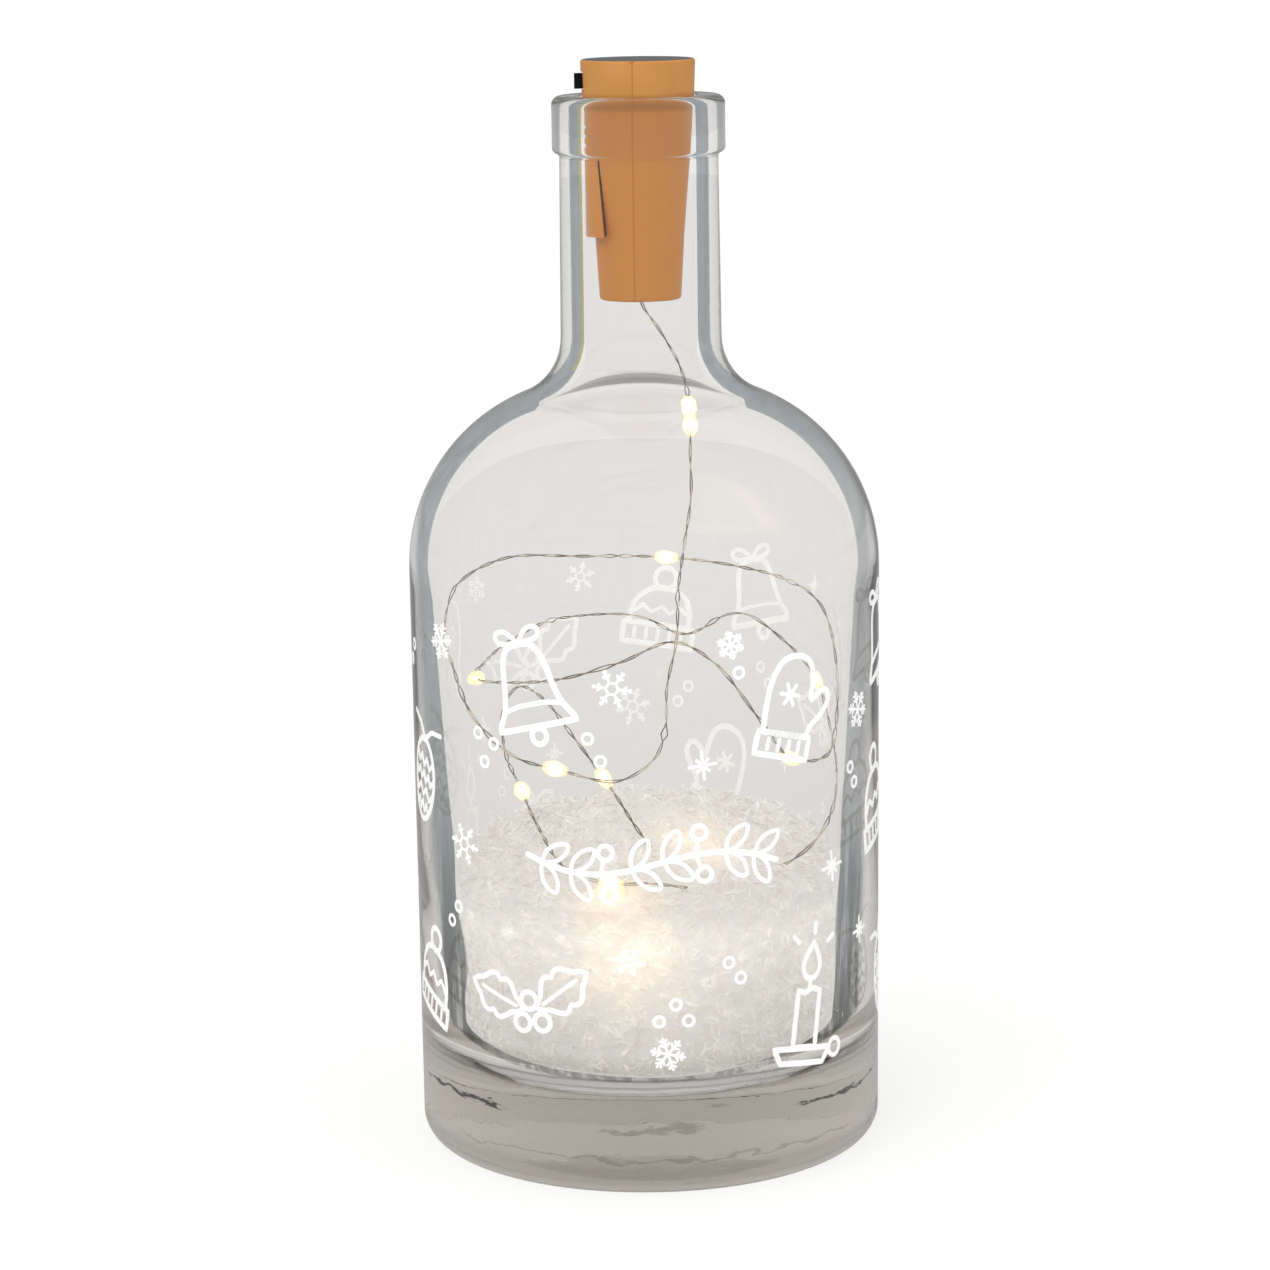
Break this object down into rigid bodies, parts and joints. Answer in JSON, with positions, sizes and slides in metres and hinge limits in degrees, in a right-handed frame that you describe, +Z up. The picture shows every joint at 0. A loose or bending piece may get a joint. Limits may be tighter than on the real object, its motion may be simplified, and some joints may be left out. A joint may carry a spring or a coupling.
{
  "type": "bottle light",
  "caption": "Clear glass bottle with loose snow in its foot and a cork-shaped battery stopper that carries a string of small warm lights.",
  "frame": {"origin": "centre of the bottle's base, on the surface that it stands on", "axes": "+Z up along the bottle's axis; -Y is the front; the switch and the battery cover are on the -X side"},
  "size_m": [0.086, 0.086, 0.1992],
  "materials": {
    "glass": "clear polished flint glass",
    "snow": "loose white shredded fibre with a few glinting flakes",
    "cork": "satin moulded plastic in a cork colour",
    "black": "satin black",
    "steel": "nickel plated",
    "board": "satin solder resist",
    "resistor": "lacquered",
    "glue": "cloudy hot glue",
    "wire": "lacquered fine wire, twisted pair",
    "light": "clear resin drop over a warm white light"
  },
  "bodies": {
    "bottle": {"bottle_glass": "glass", "snow_fill": "snow", "string_slack": "wire", "string_loops": "wire", "led_bead_2": "light", "led_bead_3": "light", "led_bead_4": "light", "led_bead_5": "light", "led_bead_6": "light", "led_bead_7": "light", "led_bead_8": "light", "led_bead_9": "light", "led_bead_10": "light"},
    "stopper": {"stopper_shell_left": "cork", "stopper_shell_right": "cork", "battery_cell_1": "steel", "battery_cell_2": "steel", "battery_cell_3": "steel", "contact_spring": "steel", "contact_plate": "steel", "circuit_board": "board", "resistor": "resistor", "switch_housing": "steel", "switch_terminal_1": "steel", "switch_terminal_2": "steel", "switch_terminal_3": "steel", "inner_wire": "wire", "wire_seal": "glue", "string_lead": "wire", "led_bead_1": "light"},
    "cover": {"battery_cover": "cork"},
    "switch": {"switch_knob": "black"}
  },
  "joints": [
    {"name": "stopper_pull", "type": "slide", "parent": "bottle", "child": "stopper", "axis": [0, 0, 1], "range_m": [0, 0.05], "deforming": ["string_slack"]},
    {"name": "cover_slide", "type": "slide", "parent": "stopper", "child": "cover", "axis": [0, 0, -1], "range_m": [0, 0.024]},
    {"name": "switch_slide", "type": "slide", "parent": "stopper", "child": "switch", "axis": [0, 1, 0], "range_m": [0, 0.002]}
  ]
}
